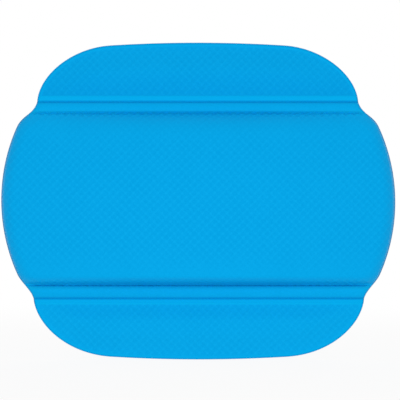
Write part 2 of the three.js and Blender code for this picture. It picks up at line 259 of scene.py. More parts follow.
quarter_round = 2
cushion_rise = 21 * mm
side_weld_width = 0.7 * mm
side_shoulder_reach = 11 * mm
side_shoulder_share = 0.4
crown_reach = 140 * mm
crown_power = 2
shoulder_power = 2.5
seam_rise = 0.7 * mm
seam_roundness = 0.9 * mm
band_fall_fullness = 1.7
band_end_fade = 7 * mm
fold_depth = 0.45 * mm
fold_groove_width = 0.75 * mm
strip_rise = 0.3 * mm
bead_offset = 3.7 * mm
bead_height = 0.22 * mm
bead_width = 0.6 * mm
rim_bead_offset = 2 * mm
rim_bead_height = 0.25 * mm
rim_width = 2.6 * mm
flap_rise = 3 * mm


def front_height(x, z):
    """How far the front stands out from the middle of the weld."""
    distance = edge_distance(x, z)
    height = weld_level * (1 - np.exp(-distance / edge_rounding))
    across = np.clip(distance - side_weld_width, 0, None)
    cushion = side_shoulder_share * rounded(across / side_shoulder_reach, quarter_round)
    cushion += (1 - side_shoulder_share) * rising(across / crown_reach, crown_power)
    off_edge = eased(distance / edge_rounding)
    for end in pillow_ends.values():
        along = z * end["side"]
        inside = end["valley"] - along
        beyond = along - end["fold"]
        cushion *= rising(inside / end["shoulder_reach"], shoulder_power, end["shoulder_start"])
        cushion *= 1 - end["end_fall"] * np.clip(along / end["valley"], 0, 1) ** 2
        on_band = (along > end["valley"]) & (along < end["fold"])
        outwards = along - end["valley"] - end["seam_width"]
        height += (on_band * end["band_bulge"] * rounded(outwards / end["band_rise_run"], quarter_round)
                   * rounded(-beyond / end["band_fall_run"], band_fall_fullness)
                   * rounded(distance / band_end_fade, quarter_round))
        height += seam_rise * line_of(inside, seam_roundness) * off_edge
        on_flap = beyond > 0
        bead = bead_height * line_of(beyond - bead_offset, bead_width) * eased(distance / rim_width)
        rim_bead = rim_bead_height * line_of(distance - rim_bead_offset, bead_width)
        height += on_flap * (strip_rise * eased(beyond / end["strip_width"]) + bead + rim_bead)
        height += (flap_rise * eased((beyond - end["strip_width"]) / end["flap_fold_run"])
                   * eased((distance - rim_width) / end["flap_edge_run"]))
        height -= fold_depth * line_of(beyond, fold_groove_width) * off_edge
    return height + cushion_rise * cushion


emboss_pitch = 4.74 * mm
emboss_depth = 0.28 * mm
emboss_fade = 1.2 * mm
strip_span = (0.9 * mm, 5.4 * mm)
strip_fade = 0.8 * mm
stretch_offset = 9 * mm
stretch_width = 14 * mm


def embossed_share(x, z):
    """1 where the weave is pressed in, 0 on the smooth welds, bands and strips, and in between where the
    sheet is stretched over the cushion's two long edges."""
    distance = edge_distance(x, z)
    share = eased((distance - rim_width) / emboss_fade)
    for end in pillow_ends.values():
        along = z * end["side"]
        on_band = (along > end["valley"]) & (along < end["fold"] + end["strip_width"])
        share = np.where(on_band, 0, share)
        beyond = along - end["fold"] - end["strip_width"]
        share *= np.where(beyond > 0, end["flap_emboss"] * eased(beyond / emboss_fade), 1)
        share *= 1 - end["stretch_loss"] * line_of(end["valley"] - along - stretch_offset, stretch_width)
    return share


flap_shade_reach = 34 * mm
flap_shade_rest = 0.3


def flap_shade_share(x, z):
    """Painted shade: how much darker the upper flap is painted, most beside its fold and less farther out.
    """
    share = np.zeros_like(x)
    for end in pillow_ends.values():
        beyond = z * end["side"] - end["fold"]
        share += end["flap_shade_share"] * (beyond > 0) * (1 - (1 - flap_shade_rest) * eased(beyond / flap_shade_reach))
    return share


crease_shade_width = 0.75 * mm
band_crease_shade_width = 1.3 * mm
rim_crease_shade_width = 1.1 * mm
rim_crease_shade_peak = 0.95
seam_wall_shade_offset = 2.3 * mm
seam_wall_shade_width = 1.6 * mm


def crease_shade_share(x, z):
    """Painted shade: 1 on the fold lines, nearly so at the very edge, and less on the cushion's steep side
    just inside the lower seam."""
    share = rim_crease_shade_peak * line_of(edge_distance(x, z), rim_crease_shade_width)
    for end in pillow_ends.values():
        along = z * end["side"]
        beyond = along - end["fold"]
        share = np.maximum(share, line_of(beyond, np.where(beyond < 0, band_crease_shade_width, crease_shade_width)))
        seam_wall_shade = end["seam_wall_shade_share"] * line_of(end["valley"] - along - seam_wall_shade_offset, seam_wall_shade_width)
        share = np.maximum(share, seam_wall_shade)
    return share


seam_shade_tint_peak = 0.55
seam_shade_tint_offset = 1.2 * mm
seam_shade_tint_width = 1.6 * mm


def seam_shade_tint_share(x, z):
    """Painted shade colour: how much duller the blue is painted on the band's steep side next to each seam,
    in the shaded valley.
    """
    share = np.zeros_like(x)
    for end in pillow_ends.values():
        share += seam_shade_tint_peak * line_of(z * end["side"] - end["valley"] - seam_shade_tint_offset, seam_shade_tint_width)
    return share


dash_pitch = math.sqrt(2) * emboss_pitch
dash_width = 1.3 * mm
dash_offset = 0.8 * mm
dash_lean = 1.5
rim_painted_sheen_peak = 0.8


def painted_sheen_share(x, z):
    """Painted sheen and highlights: how much lighter the sheet is painted on the smooth strips, on the
    flaps' rim beads and in dashes along the upper seam."""
    distance = edge_distance(x, z)
    seam = pillow_ends["upper"]["valley"] + dash_offset
    dash = 0.5 + 0.5 * np.cos(2 * math.pi * (x - dash_lean * (z - seam)) / dash_pitch)
    dash *= line_of(z - seam, dash_width)
    share = dash * eased((distance - rim_width) / band_end_fade)
    for end in pillow_ends.values():
        beyond = z * end["side"] - end["fold"]
        strip = eased((beyond - strip_span[0]) / strip_fade) * eased((strip_span[1] - beyond) / strip_fade)
        rim = (beyond > 0) * line_of(distance - rim_bead_offset, bead_width)
        share = np.maximum(share, np.maximum(strip, rim_painted_sheen_peak * rim))
    return share


right_strands = 0.26
left_strands = 0.24


def weave_height(flat_x, flat_z):
    """The weave on the flat sheet, from 0 to 1: strands that rise to the right cross ones that rise to the
    left."""
    along, across = (flat_x + flat_z) / math.sqrt(2), (flat_z - flat_x) / math.sqrt(2)
    turn = 2 * math.pi / emboss_pitch
    return 0.5 + right_strands * np.cos(turn * across) + left_strands * np.cos(turn * along)


def deselect():
    if bpy.context.object and bpy.context.object.mode == "EDIT":
        bpy.ops.object.mode_set(mode="OBJECT")
    bpy.ops.object.select_all(action="DESELECT")


def coordinates(piece):
    found = np.empty(len(piece.data.vertices) * 3)
    piece.data.vertices.foreach_get("co", found)
    return found.reshape(-1, 3)


def place(piece, points):
    piece.data.vertices.foreach_set("co", points.ravel())
    piece.data.update()


def keep_flat_place(piece, flat_x, flat_z, shares):
    """Notes where each vertex lies on the flat sheet, and its shares of what the material needs."""
    corners = np.empty(len(piece.data.loops), int)
    piece.data.loops.foreach_get("vertex_index", corners)
    layer = piece.data.uv_layers.get("sheet") or piece.data.uv_layers.new(name="sheet")
    layer.data.foreach_set("uv", np.column_stack([flat_x, flat_z])[corners].ravel())
    for name, share in shares.items():
        attribute = piece.data.attributes.new(name, "FLOAT", "POINT")
        attribute.data.foreach_set("value", share.astype(np.float32))


pucker_width = 1.6 * mm
pucker_gain = 1.6


def press_weave(piece, flat_x, flat_z, share):
    """Presses the weave in. It puckers more where the sheet is gathered beside the two seams."""
    normals = np.empty(len(piece.data.vertices) * 3)
    piece.data.vertex_normals.foreach_get("vector", normals)
    points = coordinates(piece)
    weave = weave_height(flat_x, flat_z)
    pucker = np.zeros(len(points))
    for end in pillow_ends.values():
        inside = end["valley"] - points[:, 2] * end["side"]
        pucker += line_of(inside - end["pucker_offset"], pucker_width)
    pucker *= pucker_gain * np.minimum(2 * share, 1)
    relief = ((weave - 1) * share + pucker * weave) * emboss_depth
    place(piece, points + normals.reshape(-1, 3) * relief[:, None])


def finish_mesh(piece):
    bpy.context.view_layer.objects.active = piece
    piece.select_set(True)
    bpy.ops.object.shade_smooth()
    deselect()


curve_samples = 4000
edge_zone = 18 * mm


def grid_of(name, x, y, z):
    """A grid whose points stand at the rows and columns of x, y and z, with the row and column of each."""
    rows, columns = x.shape
    deselect()
    bpy.ops.mesh.primitive_grid_add(x_subdivisions=columns - 1, y_subdivisions=rows - 1, size=2)
    piece = bpy.context.object
    piece.name = name
    points = coordinates(piece)
    column = np.rint((points[:, 0] + 1) / 2 * (columns - 1)).astype(int)
    row = np.rint((points[:, 1] + 1) / 2 * (rows - 1)).astype(int)
    place(piece, np.column_stack([x[row, column], y[row, column], z[row, column]]))
    return piece, row, column


def panel_grid(name, spacing, height_at, side, first_inset=0):
    """The middle panel between its two valleys, as rows and columns spaced evenly over its own curve."""
    low, high = -pillow_ends["lower"]["valley"], pillow_ends["upper"]["valley"]
    z = np.linspace(low + first_inset, high - first_inset, curve_samples)
    run = np.concatenate([[0], np.cumsum(np.hypot(np.diff(z), np.diff(height_at(np.zeros_like(z), z))))])
    rows = np.interp(np.linspace(0, run[-1], round(run[-1] / spacing) + 1), run, z)
    inset = np.linspace(first_inset, half_width, curve_samples)
    level = height_at(half_width - inset, np.zeros_like(inset))
    run = np.concatenate([[0], np.cumsum(np.hypot(np.diff(inset), np.diff(level)))])
    insets = np.interp(np.linspace(0, run[-1], round(run[-1] / spacing) + 1), run, inset)
    widths = width_at(rows)[:, None]
    lean = np.sqrt(1 + np.gradient(widths[:, 0], rows) ** 2)[:, None]
    middle = (widths - edge_zone * lean) * (half_width - insets) / (half_width - edge_zone)
    half = np.where(insets < edge_zone, widths - insets * lean, middle)
    x = np.hstack([-half, half[:, -2::-1]])
    z = np.repeat(rows[:, None], x.shape[1], axis=1)
    y = weld_y - side * height_at(x, z)
    piece, row, column = grid_of(name, x, y, z)
    step_x = np.hypot(np.diff(x, axis=1), np.diff(y, axis=1))
    step_z = np.hypot(np.diff(z, axis=0), np.diff(y, axis=0))
    flat_x = np.pad(np.cumsum(step_x, axis=1), ((0, 0), (1, 0)))
    flat_z = np.pad(np.cumsum(step_z, axis=0), ((1, 0), (0, 0)))
    flat_x -= flat_x[:, [x.shape[1] // 2]]
    flat_z -= flat_z[[np.argmin(np.abs(rows))], :]
    return piece, flat_x[row, column], flat_z[row, column]


skew = 0.0058
weld_clearance = 0.02 * mm


def give_thickness(piece, face, spare_lining=0):
    """The sheet's own thickness, inwards. The lining inside is hidden, so a share of its faces will do."""
    bpy.context.view_layer.objects.active = piece
    piece.select_set(True)
    outer_points = len(piece.data.vertices)
    lining = piece.vertex_groups.new(name="lining")
    solid = piece.modifiers.new("thickness", "SOLIDIFY")
    solid.thickness = sheet_thickness
    solid.offset = -1
    solid.shell_vertex_group = lining.name
    bpy.ops.object.modifier_apply(modifier=solid.name)
    points = coordinates(piece)
    inner = face * (points[outer_points:, 1] - weld_y)
    points[outer_points:, 1] = weld_y + face * np.minimum(inner, -weld_clearance)
    points[:, 0] -= skew * points[:, 2]
    place(piece, points)
    if spare_lining:
        thin = piece.modifiers.new("spare", "DECIMATE")
        thin.vertex_group = lining.name
        thin.ratio = 0.5 + 0.5 * spare_lining
        bpy.ops.object.modifier_apply(modifier=thin.name)
    deselect()


cover_spacing = 0.88 * mm
centre_front, flat_x, flat_z = panel_grid("centre_front_cover", cover_spacing, front_height, 1)
points = coordinates(centre_front)
share = embossed_share(points[:, 0], points[:, 2])
# The "pressed" attribute carries painted sheen and highlights.
pressed = painted_sheen_share(points[:, 0], points[:, 2])
# The "melted" attribute carries painted shade in the fold lines, at the very edge and above the lower seam.
crease_shade = crease_shade_share(points[:, 0], points[:, 2])
keep_flat_place(centre_front, flat_x, flat_z, {"embossed": share, "pressed": pressed, "crease_shade": crease_shade})
press_weave(centre_front, flat_x, flat_z, share)
give_thickness(centre_front, 1, 0.1)
finish_mesh(centre_front)


def linear(level):
    return ((level / 255 + 0.055) / 1.055) ** 2.4 if level > 10 else level / 255 / 12.92


def srgb(red, green, blue):
    return [linear(red), linear(green), linear(blue), 1]


def group_input(tree, name, kind, default=None):
    socket = tree.interface.new_socket(name=name, in_out="INPUT", socket_type=kind)
    if default is not None:
        socket.default_value = default


def group_output(tree, name, kind="NodeSocketFloat"):
    tree.interface.new_socket(name=name, in_out="OUTPUT", socket_type=kind)


def maths(tree, operation, *inputs, clamp=False):
    """A Math node. Each input is a number or another node's output."""
    node = tree.nodes.new("ShaderNodeMath")
    node.operation = operation
    node.use_clamp = clamp
    for socket, value in zip(node.inputs, inputs):
        if isinstance(value, (int, float)):
            socket.default_value = value
        else:
            tree.links.new(value, socket)
    return node.outputs[0]


def ramp(tree, value, low, high, to_low=0.0, to_high=1.0):
    node = tree.nodes.new("ShaderNodeMapRange")
    node.interpolation_type = "SMOOTHSTEP"
    for name, number in zip(("From Min", "From Max", "To Min", "To Max"), (low, high, to_low, to_high)):
        node.inputs[name].default_value = number
    tree.links.new(value, node.inputs["Value"])
    return node.outputs["Result"]


def noise(tree, place, scale, detail=2.0, roughness=0.5):
    node = tree.nodes.new("ShaderNodeTexNoise")
    node.inputs["Scale"].default_value = scale
    node.inputs["Detail"].default_value = detail
    node.inputs["Roughness"].default_value = roughness
    tree.links.new(place, node.inputs["Vector"])
    return node.outputs["Fac"]


def mixed(tree, share, first, second, blend="MIX"):
    node = tree.nodes.new("ShaderNodeMix")
    node.data_type = "RGBA"
    node.blend_type = blend
    for name, value in (("Factor", share), ("A", first), ("B", second)):
        if isinstance(value, (list, tuple, float, int)):
            node.inputs[name].default_value = value
        else:
            tree.links.new(value, node.inputs[name])
    return node.outputs["Result"]


# The weave on the flat sheet. Threads are the strands of both ways, and floats are the short raised lengths
# of the strands that rise to the right, one at each crossing.
weave = bpy.data.node_groups.new("woven emboss", "ShaderNodeTree")
group_input(weave, "Sheet", "NodeSocketVector")
group_input(weave, "Pitch", "NodeSocketFloat", emboss_pitch)
group_output(weave, "Threads")
group_output(weave, "Floats")
weave_in = weave.nodes.new("NodeGroupInput")
weave_out = weave.nodes.new("NodeGroupOutput")
turned_sheet = weave.nodes.new("ShaderNodeVectorRotate")
turned_sheet.rotation_type = "Z_AXIS"
turned_sheet.inputs["Angle"].default_value = -math.pi / 4
weave.links.new(weave_in.outputs["Sheet"], turned_sheet.inputs["Vector"])
parts = weave.nodes.new("ShaderNodeSeparateXYZ")
weave.links.new(turned_sheet.outputs[0], parts.inputs[0])


def from_crossing(part):
    """From -0.5 to 0.5, with 0 at the middle of the nearest strand."""
    strands = maths(weave, "MULTIPLY_ADD", maths(weave, "DIVIDE", part, weave_in.outputs["Pitch"]), 1, 0.5)
    return maths(weave, "SUBTRACT", maths(weave, "FRACT", strands), 0.5)


def oval(along, across, half_length, half_width):
    """1 in the middle of an oval mark and 0 at its edge."""
    first = maths(weave, "POWER", maths(weave, "DIVIDE", along, half_length), 2)
    second = maths(weave, "POWER", maths(weave, "DIVIDE", across, half_width), 2)
    return ramp(weave, maths(weave, "ADD", first, second), 0, 1, 1, 0)


along, across = [from_crossing(part) for part in parts.outputs[:2]]
rib = ramp(weave, maths(weave, "ABSOLUTE", across), 0.06, 0.28, 0.8, 0)
aside = maths(weave, "SUBTRACT", 0.5, maths(weave, "ABSOLUTE", across))
link_mark = oval(along, aside, 0.24, 0.38)
weave.links.new(maths(weave, "MAXIMUM", rib, link_mark), weave_out.inputs["Threads"])
float_mark = oval(maths(weave, "SUBTRACT", along, 0.06), across, 0.34, 0.3)
weave.links.new(float_mark, weave_out.inputs["Floats"])

# Painted shade: the upper flap's colour is multiplied by this, darkest beside its fold.
flap_shade_dimming = (0.8, 0.9, 0.945, 1)
azure = bpy.data.materials.new("embossed_azure_vinyl")
azure.use_nodes = True
tree = azure.node_tree
shader = tree.nodes["Principled BSDF"]
sheet_place = tree.nodes.new("ShaderNodeUVMap")
sheet_place.uv_map = "sheet"
pattern = tree.nodes.new("ShaderNodeGroup")
pattern.node_tree = weave
tree.links.new(sheet_place.outputs["UV"], pattern.inputs["Sheet"])
embossed = tree.nodes.new("ShaderNodeAttribute")
embossed.attribute_name = "embossed"
space = tree.nodes.new("ShaderNodeTexCoord").outputs["Object"]
mottle = noise(tree, space, 26, 3)
grain = noise(tree, space, 2600, 2, 0.6)
painted_sheen_mark = tree.nodes.new("ShaderNodeAttribute")
painted_sheen_mark.attribute_name = "pressed"
crease_shade_mark = tree.nodes.new("ShaderNodeAttribute")
crease_shade_mark.attribute_name = "crease_shade"
flap_shade_mark = tree.nodes.new("ShaderNodeAttribute")
flap_shade_mark.attribute_name = "thin"
seam_shade_tint_mark = tree.nodes.new("ShaderNodeAttribute")
seam_shade_tint_mark.attribute_name = "seam_shade_tint"
speckle = noise(tree, space, 620, 2, 0.6)
tone = maths(tree, "MULTIPLY_ADD", speckle, 0.75, maths(tree, "MULTIPLY", mottle, 0.25))
tone = ramp(tree, tone, 0.36, 0.64)
# Painted shade and highlights: the weave's hollows are painted darker, and its threads and floats lighter,
# for the light and shade on its relief. The tone within each colour varies at random.
shaded_hollows = mixed(tree, tone, srgb(3, 163, 230), srgb(5, 167, 234))
strand = mixed(tree, tone, srgb(4, 166, 232), srgb(6, 170, 236))
woven = mixed(tree, pattern.outputs["Threads"], shaded_hollows, strand)
woven = mixed(tree, pattern.outputs["Floats"], woven, srgb(8, 171, 237))
plain = mixed(tree, tone, srgb(4, 167, 233), srgb(6, 171, 237))
vinyl = mixed(tree, embossed.outputs["Fac"], plain, woven)
# Painted shade on the upper flap, carried by the "thin" attribute.
vinyl = mixed(tree, flap_shade_mark.outputs["Fac"], vinyl, flap_shade_dimming, "MULTIPLY")
# Painted shade colour: a duller blue in the shaded valley beside each seam.
vinyl = mixed(tree, seam_shade_tint_mark.outputs["Fac"], vinyl, srgb(14, 173, 217))
# Painted sheen and highlights: a lighter blue on the strips, the rim beads and the dashes along the upper
# seam.
vinyl = mixed(tree, painted_sheen_mark.outputs["Fac"], vinyl, srgb(4, 175, 238))
# Painted shade: a darker blue in the fold lines, at the very edge and above the lower seam.
vinyl = mixed(tree, crease_shade_mark.outputs["Fac"], vinyl, srgb(3, 153, 220))
tree.links.new(vinyl, shader.inputs["Base Color"])
worn = maths(tree, "MULTIPLY_ADD", grain, 0.12, 0.36)
tree.links.new(maths(tree, "MULTIPLY_ADD", embossed.outputs["Fac"], 0.12, worn), shader.inputs["Roughness"])
shader.inputs["Specular IOR Level"].default_value = 0.22
shader.inputs["Specular Tint"].default_value = srgb(40, 190, 245)
strands = maths(tree, "ADD", pattern.outputs["Threads"], pattern.outputs["Floats"])
strands = maths(tree, "MULTIPLY", strands, embossed.outputs["Fac"])
surface = maths(tree, "MULTIPLY_ADD", strands, 0.5, maths(tree, "MULTIPLY", grain, 0.2))
bump = tree.nodes.new("ShaderNodeBump")
bump.inputs["Strength"].default_value = 0.32
bump.inputs["Distance"].default_value = 0.06 * mm
tree.links.new(surface, bump.inputs["Height"])
tree.links.new(bump.outputs["Normal"], shader.inputs["Normal"])

centre_front.data.materials.append(azure)
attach(centre_front, "centre_cushion")
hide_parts("centre_front_skin")


# Front covers of the two ends: from the cushion's valley, over the smooth band, the pressed fold line and a
# smooth strip, to the embossed flap with its welded rim. Each is one sheet across the fold.
rim_insets = [0, 0.25, 0.5, 0.8, 1.1, 1.4, 1.7, 2, 2.3, 2.6, 3, 3.5, 4.1, 4.8]
strip_offsets = [4.1, 3.9, 3.7, 3.5, 3.2, 2.6, 2, 1.4, 1, 0.75, 0.5, 0.3, 0.15, 0]
band_shares = [0.004, 0.015, 0.03, 0.05, 0.075, 0.1, 0.15, 0.22, 0.3, 0.38, 0.46, 0.54, 0.62, 0.7, 0.78,
               0.85, 0.9, 0.93, 0.955, 0.975, 1]


def evenly(line, spacing):
    """The same line with its points spaced evenly."""
    run = np.concatenate([[0], np.cumsum(np.hypot(*np.diff(line, axis=0).T))])
    at = np.linspace(0, run[-1], round(run[-1] / spacing) + 1)
    return np.column_stack([np.interp(at, run, line[:, 0]), np.interp(at, run, line[:, 1])])


def choose(piece, points_chosen):
    """Starts editing with some points chosen, and the edges between them."""
    for kind in (piece.data.vertices, piece.data.edges, piece.data.polygons):
        kind.foreach_set("select", np.zeros(len(kind), bool))
    piece.data.vertices.foreach_set("select", points_chosen)
    ends_of = np.empty(len(piece.data.edges) * 2, int)
    piece.data.edges.foreach_get("vertices", ends_of)
    piece.data.edges.foreach_set("select", points_chosen[ends_of.reshape(-1, 2)].all(axis=1))
    bpy.ops.object.mode_set(mode="EDIT")
    bpy.ops.mesh.select_mode(type="EDGE")


def flap_disc(name, end, spacing, first_insets):
    """A flap's outline beyond its strip, filled with rings that shrink towards a spine along its middle."""
    start = end["fold"] + end["strip_width"]
    side_x, side_z = end["flap_side"].T
    start_width = np.interp(start, side_z, side_x)
    half = evenly(np.vstack([(start_width, start), end["flap_side"][side_z > start]]), spacing)
    base = evenly(np.array([(-start_width, start), (start_width, start)]), spacing)
    ring = np.vstack([base[:-1], half[:-1], (half * (-1, 1))[:0:-1], base[:1]])
    middle = (start + end["reach"]) / 2
    depth = (end["reach"] - start) / 2
    middle_width = np.interp(middle, side_z, side_x)
    spine_x = np.clip(ring[:, 0], -middle_width, middle_width) * (1 - depth / start_width)
    spine = np.column_stack([spine_x, np.full(len(ring), middle)])
    far, last = first_insets[-1], depth - spacing / 2
    insets = [*first_insets, *np.linspace(far, last, round((last - far) / spacing) + 1)[1:]]
    shares = np.array(insets)[:, None, None] / depth
    x, z = np.moveaxis(ring * (1 - shares) + spine * shares, -1, 0)
    piece, row, _ = grid_of(name, x, np.full_like(x, weld_y), end["side"] * z)
    choose(piece, row == len(insets) - 1)
    bpy.ops.mesh.remove_doubles(threshold=spacing / 3)
    bpy.ops.mesh.fill(use_beauty=True)
    bpy.ops.object.mode_set(mode="OBJECT")
    merge_points(piece)
    return piece, start, start_width


merge_distance = 0.01 * mm


def merge_points(piece):
    bpy.context.view_layer.objects.active = piece
    bpy.ops.object.mode_set(mode="EDIT")
    bpy.ops.mesh.select_all(action="SELECT")
    bpy.ops.mesh.remove_doubles(threshold=merge_distance)
    bpy.ops.mesh.normals_make_consistent(inside=False)
    bpy.ops.object.mode_set(mode="OBJECT")


def turn_face(piece, face):
    """Makes an open sheet's faces point to the front, or for face -1 to the back."""
    normals = np.empty(len(piece.data.polygons) * 3)
    piece.data.polygons.foreach_get("normal", normals)
    if normals.reshape(-1, 3)[:, 1].sum() * face > 0:
        piece.data.flip_normals()


def flap_sheet(name, end, spacing, height_at, face):
    """A flap's disc, and then its strip, fold line and band, row by row."""
    piece, start, start_width = flap_disc(name, end, spacing, [i * mm for i in rim_insets])
    choose(piece, np.abs(coordinates(piece)[:, 2] * end["side"] - start) < 1e-7)
    rows = [end["fold"] + offset * mm for offset in strip_offsets]
    rows += [end["fold"] - share * end["band_width"] for share in band_shares]
    side_x, side_z = end["flap_side"].T
    last, last_width = start, start_width
    for row in rows:
        width = np.interp(row, side_z, side_x) if row > end["fold"] else float(width_at(end["side"] * row))
        step = (0, 0, end["side"] * (row - last))
        bpy.ops.mesh.extrude_edges_move(TRANSFORM_OT_translate={"value": step})
        bpy.ops.transform.resize(value=(width / last_width, 1, 1), center_override=(0, 0, 0))
        last, last_width = row, width
    bpy.ops.object.mode_set(mode="OBJECT")
    merge_points(piece)
    x, _, z = coordinates(piece).T
    place(piece, np.column_stack([x, weld_y - face * height_at(x, z), z]))
    turn_face(piece, face)
    return piece


def bend_at_fold(piece):
    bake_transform(piece)


for name, end in pillow_ends.items():
    cover = flap_sheet(f"{name}_front_cover", end, cover_spacing, front_height, 1)
    x, _, z = coordinates(cover).T
    share = embossed_share(x, z)
    # The "pressed" attribute carries painted sheen and highlights.
    keep_flat_place(cover, x, z, {"embossed": share, "pressed": painted_sheen_share(x, z),
                                  # The "thin" attribute carries the upper flap's painted shade.
                                  "crease_shade": crease_shade_share(x, z), "thin": flap_shade_share(x, z),
                                  "seam_shade_tint": seam_shade_tint_share(x, z)})
    press_weave(cover, x, z, share)
    give_thickness(cover, 1)
    finish_mesh(cover)
    cover.data.materials.append(azure)
    bend_at_fold(cover)
    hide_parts(f"{name}_flap_front_skin")


# Back covers. They are plain vinyl with a fine grain. The cushion's back lies flat on the tub's wall, and
# the flaps' backs are punched for the necks of the suction cups.
back_spacing = 2.2 * mm
back_rise = -weld_y - weld_level
back_reach = 20 * mm
back_fullness = 2.3
flap_back_rise = 2.63 * mm
flap_back_edge_run = 9 * mm
flap_back_fold_run = 9 * mm


def back_height(x, z):
    """How far the back stands out from the middle of the weld."""
    distance = edge_distance(x, z)
    height = weld_level * (1 - np.exp(-distance / edge_rounding))
    cushion = rounded((distance - side_weld_width) / back_reach, back_fullness)
    for end in pillow_ends.values():
        along = z * end["side"]
        beyond = along - end["fold"]
        cushion *= rounded((end["valley"] - along) / back_reach, back_fullness)
        height -= fold_depth * line_of(beyond, fold_groove_width) * eased(distance / edge_rounding)
        height += (beyond > 0) * rim_bead_height * line_of(distance - rim_bead_offset, bead_width)
        height += (flap_back_rise * eased((beyond - end["strip_width"]) / flap_back_fold_run)
                   * eased((distance - rim_width) / flap_back_edge_run))
    return height + back_rise * cushion


grainy = bpy.data.materials.new("plain_back_vinyl")
grainy.use_nodes = True
tree = grainy.node_tree
shader = tree.nodes["Principled BSDF"]
space = tree.nodes.new("ShaderNodeTexCoord").outputs["Object"]
cells = tree.nodes.new("ShaderNodeTexVoronoi")
cells.feature = "DISTANCE_TO_EDGE"
cells.inputs["Scale"].default_value = 900
tree.links.new(space, cells.inputs["Vector"])
pores = ramp(tree, cells.outputs["Distance"], 0.02, 0.25)
mottle = noise(tree, space, 18, 3)
plain = mixed(tree, ramp(tree, mottle, 0.35, 0.65), srgb(5, 152, 217), srgb(8, 158, 224))
# Painted shade: the grain's grooves are painted darker.
tree.links.new(mixed(tree, pores, srgb(4, 138, 202), plain), shader.inputs["Base Color"])
tree.links.new(maths(tree, "MULTIPLY_ADD", pores, -0.08, 0.52), shader.inputs["Roughness"])
shader.inputs["Specular IOR Level"].default_value = 0.3
shader.inputs["Specular Tint"].default_value = srgb(90, 200, 245)
bump = tree.nodes.new("ShaderNodeBump")
bump.inputs["Strength"].default_value = 0.6
bump.inputs["Distance"].default_value = 0.1 * mm
tree.links.new(pores, bump.inputs["Height"])
tree.links.new(bump.outputs["Normal"], shader.inputs["Normal"])

centre_back, flat_x, flat_z = panel_grid("centre_back_cover", back_spacing, back_height, -1)
turn_face(centre_back, -1)
keep_flat_place(centre_back, flat_x, flat_z, {})
give_thickness(centre_back, -1)
finish_mesh(centre_back)
centre_back.data.materials.append(grainy)
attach(centre_back, "centre_cushion")
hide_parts("centre_back_skin")

cups = [(f"{name}_{number}", name) for name in pillow_ends for number in (1, 2, 3, 4)]
neck_radius = 2.6 * mm
neck_clearance = 0.3 * mm


def cup_middle(cup):
    low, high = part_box(f"suction_cup_{cup}")
    return (low.x + high.x) / 2, (low.z + high.z) / 2


def punch_holes(piece, end_name, radius, depth):
    """Round holes for the cups, punched from behind to a depth."""
    deselect()
    for cup, of_end in cups:
        if of_end == end_name:
            x, z = cup_middle(cup)
            bpy.ops.mesh.primitive_cylinder_add(vertices=48, radius=radius, depth=2 * depth,
                                                location=(x, 0, z), rotation=(math.pi / 2, 0, 0))
            punch = bpy.context.object
            cut = piece.modifiers.new("punch", "BOOLEAN")
            cut.operation = "DIFFERENCE"
            cut.object = punch
            with bpy.context.temp_override(object=piece, active_object=piece, selected_objects=[piece]):
                bpy.ops.object.modifier_apply(modifier=cut.name)
            bpy.data.objects.remove(punch)


for name, end in pillow_ends.items():
    cover = flap_sheet(f"{name}_back_cover", end, back_spacing, back_height, -1)
    x, _, z = coordinates(cover).T
    keep_flat_place(cover, x, z, {})
    give_thickness(cover, -1)
    punch_holes(cover, name, neck_radius + neck_clearance, -weld_y)
    finish_mesh(cover)
    cover.data.materials.append(grainy)
    bend_at_fold(cover)
    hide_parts(f"{name}_flap_back_skin")


# Foam. A thick block fills the cushion, and a thin pad in each flap has a pocket over each cup's head.
foam_spacing = 3 * mm
foam_clearance = 1 * mm
core_inset = 3 * mm
pad_inset = 7 * mm
pocket_radius = 5.2 * mm
pocket_top = 14.05 * mm


def fill_with_foam(piece):
    """Gives a flat sheet two faces, and puts each of them just inside the cover."""
    sheet_points = len(piece.data.vertices)
    bpy.context.view_layer.objects.active = piece
    solid = piece.modifiers.new("thickness", "SOLIDIFY")
    solid.thickness = foam_clearance
    bpy.ops.object.modifier_apply(modifier=solid.name)
    x, _, z = coordinates(piece).T
    y = weld_y - front_height(x, z) + foam_clearance
    behind = np.arange(len(x)) >= sheet_points
    y[behind] = weld_y + back_height(x[behind], z[behind]) - foam_clearance
    place(piece, np.column_stack([x, y, z]))


foam = bpy.data.materials.new("cream_foam")
foam.use_nodes = True
tree = foam.node_tree
shader = tree.nodes["Principled BSDF"]
space = tree.nodes.new("ShaderNodeTexCoord").outputs["Object"]
cells = tree.nodes.new("ShaderNodeTexVoronoi")
cells.inputs["Scale"].default_value = 1100
tree.links.new(space, cells.inputs["Vector"])
hollow = ramp(tree, cells.outputs["Distance"], 0.15, 0.6)
# Painted shade: the foam's hollows are painted darker.
tree.links.new(mixed(tree, hollow, srgb(240, 234, 212), srgb(205, 194, 160)), shader.inputs["Base Color"])
tree.links.new(maths(tree, "MULTIPLY_ADD", hollow, -0.1, 0.95), shader.inputs["Roughness"])
shader.inputs["Specular IOR Level"].default_value = 0.15
bump = tree.nodes.new("ShaderNodeBump")
bump.inputs["Strength"].default_value = 0.8
bump.inputs["Distance"].default_value = 0.3 * mm
bump.invert = True
tree.links.new(hollow, bump.inputs["Height"])
tree.links.new(bump.outputs["Normal"], shader.inputs["Normal"])

core, _, _ = panel_grid("centre_foam", foam_spacing, front_height, 1, core_inset)
turn_face(core, 1)
fill_with_foam(core)
finish_mesh(core)
core.data.materials.append(foam)
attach(core, "centre_cushion")
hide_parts("centre_foam_core")

